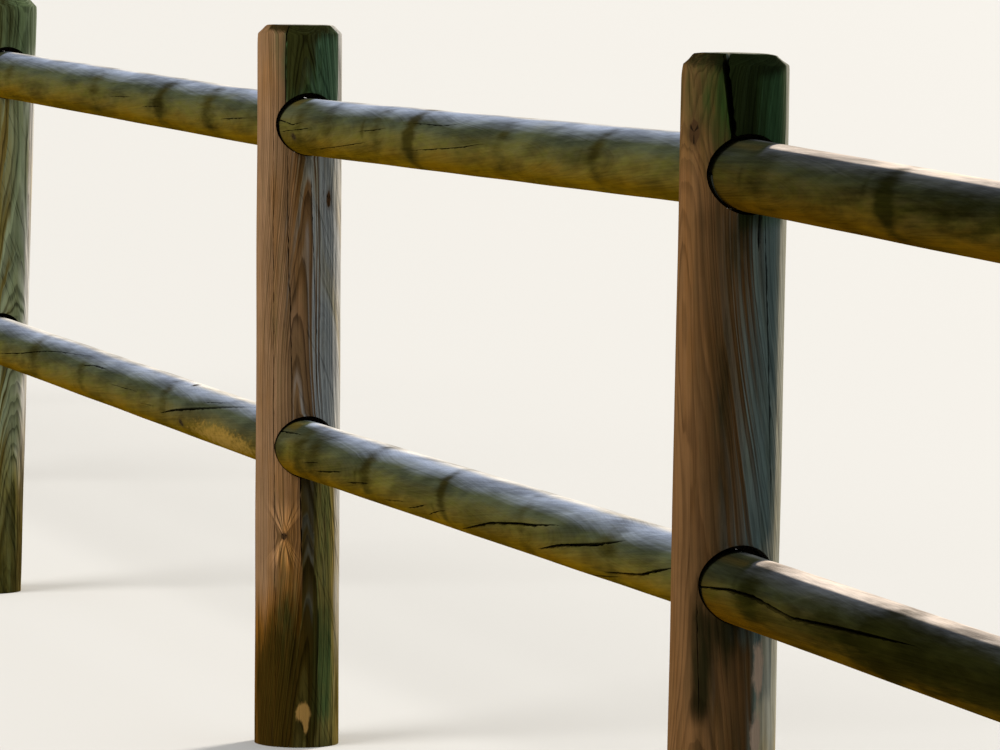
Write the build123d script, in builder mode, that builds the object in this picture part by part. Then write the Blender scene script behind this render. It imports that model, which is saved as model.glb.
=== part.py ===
# A run of round-rail fence: turned posts with two through bores each, and round rails
# that enter the bores at full diameter and are halved over each other inside the post.
#
# Millimetres. X runs along the fence, +Y points to its far side and +Z is up.
# The origin is on the ground, at the foot of the middle post.

import os
from collections import namedtuple
from math import cos, radians, sin, sqrt

from build123d import *

# Turned timber
post_diameter = 120.0
rail_diameter = 80.0
head_chamfer = 12.0  # the 45 degree cone turned on each post's head
head_arris = 2.5  # worn rounding of the cone's two edges

# Bores through the posts
bore_play = 8.0  # bore diameter over rail diameter
seat_gap = 0.3  # left between a rail and the wall of its bore where it rests

# Halved joint inside each post
lap_length = 76.0  # stretch along which two rails lie over each other
lap_play = 3.0  # left between the two tongues
lap_end_gap = 4.0  # left between a tongue's end and the other rail's shoulder
rail_end_chamfer = 3.0  # sawn-off rim of a rail that ends in an end post
end_recess = 6.0  # how far such a rail stops inside the end post's face

# Setting out
bay = 2000.0  # from post to post
ground_allowance = 30.0  # post made below the ground before it is cut off level

# How each post stands, left to right: how far it is set towards the far side, how many
# degrees its head leans towards the viewer's side, and how far up the post its lower
# bore, its top bore and its head are. Posts 3, 4 and 5 are measured off the photograph.
Stand = namedtuple("Stand", "side lean lower top head")
stands = [
    Stand(side=-14.0, lean=0.40, lower=431.0, top=887.0, head=1022.0),
    Stand(side=-24.0, lean=-0.45, lower=427.0, top=884.0, head=1020.0),
    Stand(side=-40.0, lean=-0.95, lower=440.0, top=896.0, head=1023.0),
    Stand(side=0.0, lean=0.58, lower=425.5, top=880.0, head=1019.0),
    Stand(side=-33.0, lean=-0.09, lower=447.0, top=897.5, head=1029.0),
    Stand(side=-5.0, lean=0.35, lower=432.0, top=866.0, head=1017.0),
    Stand(side=-20.0, lean=-0.30, lower=434.0, top=889.0, head=1026.0),
]

# Where on the bores' walls each rail rests at its left and its right end, in degrees from
# a bore's lowest line towards the far side: the gaps round the rails differ from bore to bore.
rests = {
    "lower": [(-20, 15), (10, -25), (20, 30), (-45, 20), (-15, 25), (-10, 15)],
    "top": [(10, -15), (-20, 30), (-10, 45), (15, 80), (75, -15), (25, -20)],
}

post_radius = post_diameter / 2
rail_radius = rail_diameter / 2
bore_radius = rail_radius + bore_play / 2
middle = len(stands) // 2
last_bay = len(stands) - 2

os.makedirs("parts", exist_ok=True)


def upright(number):
    """The plane a post stands on: its origin is the foot, its normal the leaning axis."""
    stand = stands[number]
    lean = radians(stand.lean)
    foot = (bay * (number - middle), stand.side, 0)
    return Plane(origin=foot, x_dir=(1, 0, 0), z_dir=(0, -sin(lean), cos(lean)))


def bore_centre(number, level):
    """Where the axis of a post's bore crosses the axis of the post."""
    plane = upright(number)
    return plane.origin + plane.z_dir * getattr(stands[number], level)


def seat(centre, run, rest, bearing):
    """A rail's centre in a bore on whose wall it rests along a stretch of X."""
    play = bore_play / 2 - seat_gap
    wall = Vector(0, sin(radians(rest)), -cos(radians(rest)))
    reaches = []
    for x in bearing:
        drift = Vector(0, run.Y, run.Z) * (x / run.X)
        towards_wall = drift.dot(wall)
        reaches.append(sqrt(play**2 - drift.dot(drift) + towards_wall**2) - towards_wall)
    return centre + wall * min(reaches)


# Posts: turned, coned at the head, bored through along the fence, cut level at the ground
for number, stand in enumerate(stands):
    plane = upright(number)
    bore_plane = Plane(origin=plane.origin, x_dir=plane.y_dir, z_dir=plane.x_dir)
    with BuildPart() as post:
        with BuildSketch(plane.offset(-ground_allowance)):
            Circle(post_radius)
        extrude(amount=ground_allowance + stand.head)
        chamfer(post.edges().filter_by(GeomType.CIRCLE).sort_by(Axis.Z)[-1], head_chamfer)
        cone_edges = post.edges().filter_by(GeomType.CIRCLE).sort_by(Axis.Z)[-2:]
        fillet(cone_edges, head_arris)
        with BuildSketch(bore_plane):
            with Locations((0, stand.lower), (0, stand.top)):
                Circle(bore_radius)
        extrude(amount=post_diameter, both=True, mode=Mode.SUBTRACT)
        split(bisect_by=Plane.XY, keep=Keep.TOP)
    name = f"post_{number + 1}"
    post.part.label = name
    export_step(post.part, f"parts/{name}.step")

# Rails: each left end has an upper tongue and each right end a lower one, so that two
# rails halve over each other in a post. In the end posts a rail stays whole instead.
whole_reach = post_radius - end_recess
tongue_reach = lap_length / 2 - lap_end_gap
tongue_depth = rail_radius + lap_play / 2  # taken off the full round at a tongue

for level in rests:
    for number in range(len(stands) - 1):
        left_bore = bore_centre(number, level)
        right_bore = bore_centre(number + 1, level)
        run = right_bore - left_bore
        left_reach = whole_reach if number == 0 else tongue_reach
        right_reach = whole_reach if number == last_bay else tongue_reach
        left_bearing = (-whole_reach if number == 0 else lap_length / 2, post_radius)
        right_bearing = (-post_radius, right_reach)
        left_rest, right_rest = rests[level][number]
        left_seat = seat(left_bore, run, left_rest, left_bearing)
        right_seat = seat(right_bore, run, right_rest, right_bearing)
        span = (right_seat - left_seat).length
        along = (right_seat - left_seat).normalized()
        across = Vector(0, 0, 1).cross(along)
        left_end = Plane(origin=left_seat - along * left_reach, x_dir=across, z_dir=along)
        right_end = Plane(origin=right_seat + along * right_reach, x_dir=-across, z_dir=-along)
        with BuildPart() as rail:
            with BuildSketch(left_end):
                Circle(rail_radius)
            extrude(amount=left_reach + span + right_reach)
            rims = rail.edges().filter_by(GeomType.CIRCLE).sort_by(Axis.X)
            if number == 0:
                chamfer(rims[0], rail_end_chamfer)
            else:
                with BuildSketch(left_end):
                    with Locations((0, lap_play / 2)):
                        Rectangle(rail_diameter, tongue_depth, align=(Align.CENTER, Align.MAX))
                extrude(amount=left_reach + lap_length / 2, mode=Mode.SUBTRACT)
            if number == last_bay:
                chamfer(rims[-1], rail_end_chamfer)
            else:
                with BuildSketch(right_end):
                    with Locations((0, -lap_play / 2)):
                        Rectangle(rail_diameter, tongue_depth, align=(Align.CENTER, Align.MIN))
                extrude(amount=right_reach + lap_length / 2, mode=Mode.SUBTRACT)
        name = f"{level}_rail_{number + 1}"
        rail.part.label = name
        export_step(rail.part, f"parts/{name}.step")
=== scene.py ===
# %% [markdown]
# # A weathered fence of round timber
#
# Six bays of a garden fence turned from softwood logs. Seven posts are bored right
# through along the fence, and round rails pass from bay to bay inside the bores. The
# frame holds their sizes. This file gives the timber what years outdoors gave it: drying
# checks, knots, silvered tops, green sides and dark feet. Some light and shade is painted
# on too: highlights on sunlit edges and tops, shadows of posts on rails, and shade in the
# checks, in the bores and on the fifth bay.

# %% Load the frame
from collections import namedtuple
from math import cos, pi, radians, sin, tau

import bmesh
import bpy
import numpy as np
from mathutils import Matrix, Vector


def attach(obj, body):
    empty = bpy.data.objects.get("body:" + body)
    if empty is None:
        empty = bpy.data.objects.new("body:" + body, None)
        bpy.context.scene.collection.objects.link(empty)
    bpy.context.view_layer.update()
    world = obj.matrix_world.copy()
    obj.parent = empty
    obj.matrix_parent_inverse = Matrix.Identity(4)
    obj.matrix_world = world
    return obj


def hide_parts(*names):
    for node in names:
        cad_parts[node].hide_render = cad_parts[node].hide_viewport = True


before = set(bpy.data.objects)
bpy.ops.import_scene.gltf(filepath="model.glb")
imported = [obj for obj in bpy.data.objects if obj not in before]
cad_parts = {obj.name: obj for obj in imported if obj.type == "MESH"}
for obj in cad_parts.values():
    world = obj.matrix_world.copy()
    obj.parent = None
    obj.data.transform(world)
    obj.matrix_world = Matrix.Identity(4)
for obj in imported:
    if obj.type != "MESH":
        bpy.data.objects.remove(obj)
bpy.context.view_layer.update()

post_names = sorted(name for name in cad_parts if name.startswith("post"))
rail_names = sorted(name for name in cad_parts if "rail" in name)

# %% [markdown]
# ## The camera
#
# The fence is seen along its run from the fourth post's near side, with a long lens that
# makes the far bays look close. A camera's turn is three turns in a row: the heading on
# the ground, the tilt from level, and a small roll. Written this way each one is a number
# that a photographer would know, which a finished matrix would hide.

# %% Set up the camera
lens_length = 221.98  # millimetres on a sensor 36 mm wide
camera_place = Vector((8.4297, -2.1831, 1.1666))
camera_heading = radians(73.635)  # from +Y towards -X
camera_tilt = radians(-4.195)  # from level
camera_roll = radians(0.980)

camera = bpy.data.objects.new("camera", bpy.data.cameras.new("camera"))
camera.data.sensor_width = 36.0
camera.data.lens = lens_length
camera.data.clip_end = 600.0
turn = Matrix.Rotation(camera_heading, 4, "Z")
turn = turn @ Matrix.Rotation(pi / 2 + camera_tilt, 4, "X")
turn = turn @ Matrix.Rotation(camera_roll, 4, "Z")
camera.matrix_world = Matrix.Translation(camera_place) @ turn
bpy.context.scene.collection.objects.link(camera)
bpy.context.scene.camera = camera
print("the camera looks along", (turn @ Vector((0, 0, -1))).to_3d())

# %% [markdown]
# ## Light and floor
#
# The fence is twelve metres long, and a lamp near it would light one bay more than the
# next. Sun lamps light every bay alike, and a wide angle makes their shadows as soft as a
# studio's. The main one stands in front on the near side, and a warmer one behind draws
# the thin pale line along the rails' tops and the posts' far edges. The floor is a plain
# pale sheet that runs to the horizon.

# %% Light the fence
Sun = namedtuple("Sun", "name towards strength spread colour")
suns = [
    Sun("main_light", (0.30, -0.80, 0.62), 2.3, 35.0, (1.0, 0.98, 0.95)),
    Sun("edge_light", (-0.56, 0.72, 0.41), 4.8, 12.0, (1.0, 0.93, 0.82)),
]
for sun in suns:
    lamp = bpy.data.lights.new(sun.name, "SUN")
    lamp.energy = sun.strength
    lamp.angle = radians(sun.spread)
    lamp.color = sun.colour
    stand = bpy.data.objects.new(sun.name, lamp)
    stand.rotation_euler = Vector(sun.towards).to_track_quat("Z", "Y").to_euler()
    bpy.context.scene.collection.objects.link(stand)

world = bpy.data.worlds.new("studio")
world.use_nodes = True
world.node_tree.nodes["Background"].inputs["Color"].default_value = (0.93, 0.96, 1.0, 1)
world.node_tree.nodes["Background"].inputs["Strength"].default_value = 0.45
bpy.context.scene.world = world
bpy.context.scene.view_settings.view_transform = "Standard"

floor_reach = 400.0
floor_mesh = bpy.data.meshes.new("floor")
corners = [(x * floor_reach, y * floor_reach, 0) for x, y in ((-1, -1), (1, -1), (1, 1), (-1, 1))]
floor_mesh.from_pydata(corners, [], [(0, 1, 2, 3)])
floor_paint = bpy.data.materials.new("pale_floor")
floor_paint.use_nodes = True
floor_shader = floor_paint.node_tree.nodes["Principled BSDF"]
floor_shader.inputs["Base Color"].default_value = (0.56, 0.555, 0.54, 1)
floor_shader.inputs["Roughness"].default_value = 0.95
floor_mesh.materials.append(floor_paint)
floor = bpy.data.objects.new("floor", floor_mesh)
bpy.context.scene.collection.objects.link(floor)

# %% [markdown]
# ## Where each timber lies
#
# Every post leans a little and every rail slopes a little, so each timber gets its own
# place: where it starts, which way its grain runs, and two directions across it. They are
# read from the frame's corner points, so nothing here repeats a size of the model. A
# post's bores leave their rims as the only corners between foot and head, and a rail's
# ends give its centre line.

# %% Read the posts and rails from the frame
Timber = namedtuple("Timber", "name start grain out side radius length bores")


def corner_points(name):
    """A node's corner points, in metres."""
    return np.array([v.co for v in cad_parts[name].data.vertices], float)


def middle(points):
    """The middle of the box round some points."""
    return (points.min(0) + points.max(0)) / 2


def read_post(name):
    """A post: it starts at the foot, `out` points along the fence, `side` to its far side."""
    points = corner_points(name)
    height = points[:, 2].max()
    foot = middle(points[points[:, 2] < 0.001])
    radius = np.ptp(points[:, 0]) / 2
    rims = points[(points[:, 2] > 0.1) & (points[:, 2] < height - 0.05)]
    low_rim = rims[rims[:, 2] < 0.65 * height]
    high_rim = rims[rims[:, 2] > 0.65 * height]
    grain = middle(high_rim) - foot
    grain = grain / np.linalg.norm(grain)
    out = np.array((1.0, 0.0, 0.0))
    side = np.cross(grain, out)
    length = ((points - foot) @ grain).max()
    bores = [(middle(rim), np.ptp(rim[:, 2]) / 2) for rim in (low_rim, high_rim)]
    return Timber(name, foot, grain, out, side, radius, length, bores)


def rail_end(points, at_left):
    """The centre and radius of a rail's end, which may be a half round tongue."""
    edge = points[:, 0].min() if at_left else points[:, 0].max()
    face = points[abs(points[:, 0] - edge) < 0.004]
    radius = np.ptp(face[:, 1]) / 2
    centre = middle(face)
    if np.ptp(face[:, 2]) < 1.5 * radius:
        centre[2] = face[:, 2].max() - radius if at_left else face[:, 2].min() + radius
    return centre, radius


def read_rail(name):
    """A rail: it starts at the left, `out` points up and `side` to the viewer's side."""
    points = corner_points(name)
    start, radius = rail_end(points, True)
    end, _ = rail_end(points, False)
    length = np.linalg.norm(end - start)
    grain = (end - start) / length
    far = np.cross((0, 0, 1), grain)
    far = far / np.linalg.norm(far)
    return Timber(name, start, grain, np.cross(grain, far), -far, radius, length, [])


timbers = {name: read_post(name) for name in post_names}
timbers |= {name: read_rail(name) for name in rail_names}
for timber in timbers.values():
    print(timber.name, "radius", round(timber.radius, 4), "length", round(timber.length, 4))

# %% [markdown]
# ## Drying checks
#
# Round timber splits as it dries: the outside shrinks more than the heart, so long cracks
# open along the grain, wide at the surface and narrow towards the pith. They could be a
# dark line in the paint, but a real check throws a shadow and breaks the outline, so it is
# cut into the mesh. Each one is a path of places on the timber: metres along it, and
# degrees round it. On a post 0 degrees looks along the fence and 90 to the far side. On a
# rail 0 is the top and 90 the viewer's side. Past the end of a post's side the path goes
# on over the head towards the pith.

Check = namedtuple("Check", "width depth path")
# These two also keep the weather on their one side from spreading to the other
head_split_4 = [(0.88, -33), (0.95, -34), (1.01, -33), (1.06, -32)]
brown_edge_4 = [(0.46, -23), (0.56, -24), (0.63, -26), (0.70, -29), (0.86, -31)]
checks = {
    "post_3": [
        Check(0.0015, 0.007, [(0.50, 63), (0.68, 54), (0.82, 49)]),
        Check(0.0012, 0.005, [(0.06, 33), (0.33, 24)]),
        Check(0.0016, 0.008, [(0.94, 20), (1.00, 16), (1.05, 14)]),
    ],
    "post_4": [
        Check(
            0.0015, 0.007, [(0.02, -44), (0.07, -45), (0.21, -46), (0.42, -49), (0.63, -51), (0.98, -53)]
        ),
        Check(0.0024, 0.012, head_split_4),
        Check(0.0018, 0.008, brown_edge_4),
        Check(0.0016, 0.007, [(0.47, 12), (0.59, 10), (0.70, 6), (0.77, 3), (0.84, 1)]),
        Check(0.0026, 0.010, [(0.25, -8), (0.32, -10), (0.41, -11)]),
        Check(0.0018, 0.007, [(0.23, 28), (0.29, 26), (0.38, 25)]),
    ],
    "post_5": [
        Check(
            0.0100, 0.034, [(0.88, -10), (0.935, -18), (0.97, -23), (1.00, -27), (1.03, -31), (1.08, -33)]
        ),
        Check(0.0030, 0.012, [(0.52, 37), (0.63, 31), (0.70, 27), (0.78, 22), (0.87, 17)]),
        Check(0.0060, 0.010, [(0.815, 11), (0.84, 12), (0.87, 13)]),
        Check(0.0016, 0.007, [(0.30, -44), (0.34, -45), (0.39, -48), (0.45, -49)]),
    ],
    "top_rail_3": [
        Check(0.0014, 0.006, [(1.02, 90), (1.17, 83)]),
        Check(0.0014, 0.006, [(1.24, 100), (1.36, 93)]),
        Check(0.0020, 0.008, [(1.73, 98), (1.88, 86)]),
    ],
    "top_rail_4": [
        Check(0.0024, 0.008, [(0.03, 73), (0.15, 84), (0.20, 77)]),
        Check(0.0018, 0.007, [(0.08, 100), (0.20, 91), (0.26, 86)]),
        Check(0.0018, 0.007, [(0.20, 137), (0.38, 120), (0.56, 102)]),
        Check(0.0016, 0.006, [(0.52, 83), (0.59, 78), (0.65, 72)]),
        Check(0.0020, 0.008, [(0.78, 56), (0.92, 55), (0.99, 48)]),
        Check(0.0018, 0.007, [(0.78, 109), (0.94, 99), (1.04, 92), (1.14, 81)]),
    ],
    "lower_rail_3": [
        Check(0.0026, 0.009, [(0.22, 107), (0.42, 84), (0.58, 59), (0.67, 49), (0.86, 32)]),
        Check(0.0034, 0.009, [(0.85, 61), (0.93, 52), (1.00, 52)]),
        Check(0.0055, 0.016, [(1.37, 108), (1.45, 91), (1.64, 61), (1.75, 40), (1.86, 13)]),
        Check(0.0024, 0.008, [(1.61, 50), (1.67, 41), (1.71, 33)]),
        Check(0.0012, 0.005, [(1.25, 99), (1.34, 95)]),
        Check(0.0012, 0.005, [(1.05, 81), (1.23, 77)]),
    ],
    "lower_rail_4": [
        Check(0.0034, 0.010, [(0.03, 56), (0.09, 52), (0.18, 47)]),
        Check(0.0016, 0.006, [(0.24, 101), (0.32, 92)]),
        Check(0.0034, 0.010, [(0.30, 112), (0.38, 104), (0.45, 95)]),
        Check(0.0030, 0.009, [(0.47, 115), (0.53, 108), (0.60, 100)]),
        Check(0.0022, 0.008, [(0.65, 128), (0.78, 114)]),
        Check(0.0026, 0.008, [(0.77, 130), (0.83, 119), (0.89, 106)]),
        Check(0.0022, 0.007, [(0.88, 128), (0.94, 113), (0.99, 104)]),
        Check(0.0050, 0.015, [(1.01, 142), (1.12, 118), (1.20, 101), (1.32, 86), (1.40, 79), (1.50, 65)]),
        Check(0.0058, 0.016, [(1.40, 122), (1.51, 100), (1.60, 87), (1.68, 75), (1.76, 57)]),
        Check(0.0052, 0.014, [(1.67, 125), (1.76, 115), (1.84, 105), (1.90, 90), (1.97, 75)]),
    ],
    "lower_rail_5": [
        Check(0.0062, 0.016, [(0.02, 95), (0.16, 79), (0.24, 77), (0.36, 89), (0.48, 80), (0.72, 66)]),
    ],
}
print(sum(len(paths) for paths in checks.values()), "checks are placed by hand")

# %% [markdown]
# ### Checks that the photograph doesn't reach
#
# The far sides and the other bays dry in the same way, so they get checks of the same
# kinds from a seeded draw. The grain of a log turns slowly round it, and the checks turn
# with it: `spiral` is how far, in degrees for each metre. Places are dealt like cards from
# a ring of evenly spaced slots, so that no two checks lie on each other.

# %% Scatter the other checks
spiral = {"post": -22.0, "rail": -95.0}  # degrees a metre
spiral |= {"post_5": -50.0, "lower_rail_3": -150.0, "lower_rail_4": -150.0, "lower_rail_5": -45.0}
slot_width = 13  # degrees
check_count = {"post": 14, "rail": 22}
big_share = 0.22  # of the scattered checks
seen_in_photo = {"post_3": (-110, 80), "post_4": (-110, 80), "post_5": (-110, 80)}
seen_in_photo |= {f"{level}_rail_{n}": (-20, 165) for level in ("top", "lower") for n in (3, 4, 5)}


def kind(timber):
    """Whether a timber is a post or a rail."""
    return "post" if timber.bores else "rail"


def seeded(timber, salt=0):
    """A random generator that always draws the same for the same timber."""
    return np.random.default_rng([sum(map(ord, timber.name)), len(timber.name), salt])


def spiral_of(timber):
    """How far the grain turns round a timber, in degrees a metre."""
    return spiral.get(timber.name, spiral[kind(timber)])


def in_photo(timber, around):
    """Whether an angle lies where the photograph shows this timber."""
    left, right = seen_in_photo.get(timber.name, (500, 500))
    return left < (around - left) % 360 + left < right


def scattered_checks(timber):
    """Hairlines, short steps and a few long checks where none is listed."""
    draw = seeded(timber)
    slots = draw.permutation(np.arange(0, 360, slot_width))
    made = []
    for slot in slots[: check_count[kind(timber)]]:
        big = draw.random() < big_share
        reach = draw.uniform(0.25, 0.55) if big else draw.uniform(0.07, 0.24)
        begin = draw.uniform(0.02, timber.length - reach - 0.02)
        around = slot + spiral_of(timber) * begin
        width = draw.uniform(0.0025, 0.005) if big else draw.uniform(0.0008, 0.0022)
        drift = draw.uniform(-6, 6, 3)
        path = []
        for step, wander in zip((0, 0.5, 1), drift):
            path.append((begin + reach * step, around + spiral_of(timber) * reach * step + wander))
        if not in_photo(timber, around):
            made.append(Check(width, 0.004 + 2.2 * width, path))
    return made


every_check = {name: checks.get(name, []) + scattered_checks(t) for name, t in timbers.items()}
print(sum(len(paths) for paths in every_check.values()), "checks in all")

# %% [markdown]
# ## A timber's surface
#
# A turned timber is a profile carried round its axis, so its mesh is a grid: rows along
# the grain and columns round it. Three things then make it wood. The columns follow the
# spiral of the grain. Slow waves take a fraction of a millimetre off here and there.

# %% Waves for uneven surfaces
def waves(draw, around, along, turns, wavelength, count=7):
    """Smooth unevenness between -1 and 1 that closes on itself round the timber."""
    total = np.zeros(np.broadcast(around, along).shape)
    for _ in range(count):
        pitch = tau / (wavelength * draw.uniform(0.6, 1.8))
        lobes = draw.integers(0, turns + 1)
        total = total + np.cos(lobes * around + pitch * along + draw.uniform(0, tau))
    return total / count * 1.6


def smooth_step(low, high, value):
    """0 below low, 1 above high and an easy curve between."""
    t = np.clip((value - low) / (high - low), 0, 1)
    return t * t * (3 - 2 * t)


def wrapped(angle):
    """An angle or an array of angles in radians, brought between -pi and pi."""
    return (angle + pi) % tau - pi


# %% [markdown]
# ### Profiles
#
# A post's profile goes up its side, over the turned cone and across the head. A rail's goes
# from one sawn end along the side to the other. The rows stand close together where a
# profile turns, so that a worn edge catches the light as the real one does.

# %% Draw the profiles
Row = namedtuple("Row", "along radius tilt")  # tilt turns from facing out to facing the end
head_cone = 0.012  # metres that the cone takes off a post's head, both ways
sawn_rim = {True: 0.003, False: 0.0004}  # a rail's rim at a whole end, and at a tongue


def row_height(timber):
    """How far apart a grid's rows are: finer where checks were listed one by one."""
    return 0.0064 if timber.name in seen_in_photo else 0.0130


def post_profile(timber):
    """Up the side, over the turned cone and across the head to the pith."""
    shoulder = timber.length - head_cone
    rim = timber.radius - head_cone
    side = np.arange(0, shoulder - 0.004, row_height(timber))
    rows = [Row(along, timber.radius, 0.0) for along in side]
    rows += [
        Row(shoulder - 0.0015, timber.radius, 0.0),
        Row(shoulder + 0.0002, timber.radius - 0.0006, pi / 8),
        Row(shoulder + 0.0020, timber.radius - 0.0020, pi / 4),
        Row(timber.length - head_cone / 2, timber.radius - head_cone / 2, pi / 4),
        Row(timber.length - 0.0020, rim + 0.0020, pi / 4),
        Row(timber.length - 0.0006, rim - 0.0002, 3 * pi / 8),
        Row(timber.length, rim - 0.0022, pi / 2),
    ]
    rows += [Row(timber.length, radius, pi / 2) for radius in np.arange(0.042, 0.001, -0.004)]
    return rows


def rail_profile(timber, whole_start, whole_end):
    """From one sawn end to the other. A whole end's rim is chamfered, a tongue's is sharp."""
    near, far = sawn_rim[whole_start], sawn_rim[whole_end]
    crisp = 0.001  # the rows beside a rim lie this close to it, so that it isn't shaded round
    end, radius = timber.length, timber.radius
    inner = (0.010, 0.020, 0.030)
    side = np.arange(near + crisp, end - far - crisp, row_height(timber))
    rows = [Row(0.0, reach, -pi / 2) for reach in (*inner, radius - near - crisp, radius - near)]
    rows += [Row(along, radius, 0.0) for along in (near, *side, end - far - crisp, end - far)]
    rows += [Row(end, reach, pi / 2) for reach in (radius - far, radius - far - crisp, *inner[::-1])]
    return rows


# %% [markdown]
# ### Checks and wear
#
# A check closes at both ends and wanders a little, as fibres tear rather than part along a
# ruler. Wear goes over the whole timber. The lathe left long low waves, and decay has bitten
# into the rim of each head, where rain stands longest.

# %% Shape the checks and the wear
head_wear = {"post_5": 0.0050, "post_3": 0.0022}  # metres that decay took off a head's rim
usual_head_wear = 0.0013


def groove(check, timber, place):
    """A check on the grid's rows: its centre, whether it is there, and its depth."""
    path = np.array(check.path)
    begin, finish = path[0, 0], path[-1, 0]
    centre = np.radians(np.interp(place, path[:, 0], path[:, 1]) - spiral_of(timber) * place)
    draw = seeded(timber, round(1000 * begin))
    drift = waves(draw, 0, place, 0, 0.06)
    tear = waves(draw, 0, place, 0, 0.018)
    centre = centre + np.radians(0.6) * drift + np.radians(0.45) * tear
    ease = 0.035
    there = smooth_step(begin - ease, begin, place) * (1 - smooth_step(finish, finish + ease, place))
    ramp = 0.22 * (finish - begin)
    swell = np.clip(np.minimum(place - begin, finish - place) / ramp, 0, 1) ** 0.7
    rough = min(1.0, 0.0035 / check.width)
    return centre, there, swell * np.clip(0.75 + rough * (0.30 * drift + 0.45 * tear), 0.25, 1.4)


def worn_depth(timber, turn, along, place, tilt):
    """How far weathering and the lathe's waves have lowered each place of the surface."""
    draw = seeded(timber, 1)
    if kind(timber) == "rail":
        return 0.00025 * (1 + np.clip(waves(draw, turn, along, 2, 0.40), -1, 1))
    low = 0.0004 * (1 + np.clip(waves(draw, turn, along, 3, 0.30), -1, 1))
    rim = place[tilt > 0].min() + 0.008
    near_rim = np.exp(-(((place - rim) / 0.013) ** 2))[:, None]
    bites = np.clip(0.6 + 0.7 * waves(draw, turn, along, 9, 0.06, 12), 0, 1.6)
    return low + head_wear.get(timber.name, usual_head_wear) * near_rim * bites


# %% [markdown]
# ### The grid
#
# Cutting hundreds of wedges out of a mesh would leave ragged triangles, so a check is drawn
# in the grid itself. The nearest column moves onto the check's path and sinks, the columns
# beside it become the lips, and the next few give way in turn.

# %% Carry a profile round a timber
column_width = 0.0024
give_way = 9  # columns on each side that move over for a check
deepest = 0.55  # share of a timber's radius that nothing goes below


def columns_at_checks(timber, paths, place, radius, columns):
    step = tau / columns
    turn = np.tile(np.arange(columns) * step, (len(place), 1))
    sunk = np.zeros_like(turn)
    grooves = []
    for check in paths:
        centre, there, swell = groove(check, timber, place)
        column = round(np.average(centre, weights=there) / step)
        offset = wrapped(centre - column * step)
        half_width = np.maximum(check.width * swell, 0.0004) / 2 / np.maximum(radius, 0.004)
        half_width = np.minimum(half_width, 6 * step)
        beside = wrapped((np.arange(columns) - column) * step) / step
        pull = np.clip(1 - (abs(beside) - 1) / give_way, 0, 1)
        turn += (there * offset)[:, None] * pull
        turn += (there * (half_width - step))[:, None] * pull * np.sign(np.round(beside))
        grooves.append((column, centre, there, swell, half_width, check))
    for column, centre, there, swell, half_width, check in grooves:
        for shift in (-1, 0, 1):
            lip = turn[:, (column + shift) % columns]
            lip += there * wrapped(centre + shift * half_width - lip)
        bottom = sunk[:, column % columns]
        bottom[:] = np.maximum(bottom, np.clip(swell, 0, 1) * check.depth)
    return np.maximum.accumulate(turn, axis=1), sunk


def timber_grid(timber, profile, paths):
    """The grid's points, row by row, and the number of columns."""
    columns = round(tau * timber.radius / column_width)
    along, radius, tilt = np.array(profile).T
    place = np.concatenate(([0], np.cumsum(np.hypot(np.diff(along), np.diff(radius)))))
    place = place - place[np.argmax(tilt >= 0)]
    turn, sunk = columns_at_checks(timber, paths, place, radius, columns)
    lowered = worn_depth(timber, turn, along[:, None], place, tilt) + sunk
    lowered = np.minimum(lowered, deepest * timber.radius)
    reach = np.maximum(radius[:, None] - lowered * np.cos(tilt)[:, None], 0.0005)
    rise = along[:, None] - lowered * np.sin(tilt)[:, None]
    angle = turn + np.radians(spiral_of(timber)) * along[:, None]
    across = np.cos(angle)[..., None] * timber.out + np.sin(angle)[..., None] * timber.side
    return timber.start + rise[..., None] * timber.grain + reach[..., None] * across, columns


def quads(*corners):
    """Faces from four arrays of corners."""
    return np.stack(corners, axis=-1).reshape(-1, 4).tolist()


def timber_mesh(timber, profile, paths):
    """A closed mesh of one timber, before it is bored or sawn."""
    points, columns = timber_grid(timber, profile, paths)
    if kind(timber) == "post":
        points[0] -= points[0][:, 2:] / timber.grain[2] * timber.grain  # cut level at the ground
    rows = len(points)
    ends = [points[0].mean(0), points[-1].mean(0)]
    grid = np.arange(rows * columns).reshape(rows, columns)
    beside = np.roll(grid, -1, axis=1)
    faces = quads(grid[:-1], beside[:-1], beside[1:], grid[1:])
    faces += [(b, a, rows * columns) for a, b in zip(grid[0], beside[0])]
    faces += [(a, b, rows * columns + 1) for a, b in zip(grid[-1], beside[-1])]
    mesh = bpy.data.meshes.new(timber.name + "_wood")
    mesh.from_pydata(np.vstack((points.reshape(-1, 3), ends)), [], faces)
    return mesh


# %% [markdown]
# ## Boring and halving
#
# The real posts are bored after they are turned, and the rails' ends are sawn half away so
# that two of them lie over each other inside a post. The cutters stand where the frame's
# own bores and tongues are.

# %% Set up the auger and the saw
def place_of(timber):
    """The matrix whose x, y and z are a timber's out, side and grain, from its start."""
    turn = Matrix((timber.out, timber.side, timber.grain)).transposed().to_4x4()
    return Matrix.Translation(timber.start) @ turn


def auger(bm, timber, bore):
    """Adds a cylinder along the fence where a post's bore goes through it."""
    centre, radius = bore
    stand = Matrix.Translation(centre) @ Matrix.Rotation(pi / 2, 4, "Y")
    size = {"radius1": radius, "radius2": radius, "depth": 2.6 * timber.radius}
    bmesh.ops.create_cone(bm, cap_ends=True, segments=96, matrix=stand, **size)


def tongues(timber):
    """The stretches of a rail's ends that are sawn half away, read from the frame."""
    local = corner_points(timber.name) - timber.start
    along = local @ timber.grain
    height = local @ timber.out
    found = []
    for at_left in (True, False):
        inward = along if at_left else timber.length - along
        shoulder = inward[inward < 0.3].max()
        end_face = height[inward < 0.002]
        if shoulder > 0.01:
            found.append((at_left, shoulder, end_face.min() if at_left else end_face.max()))
    return found


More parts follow.
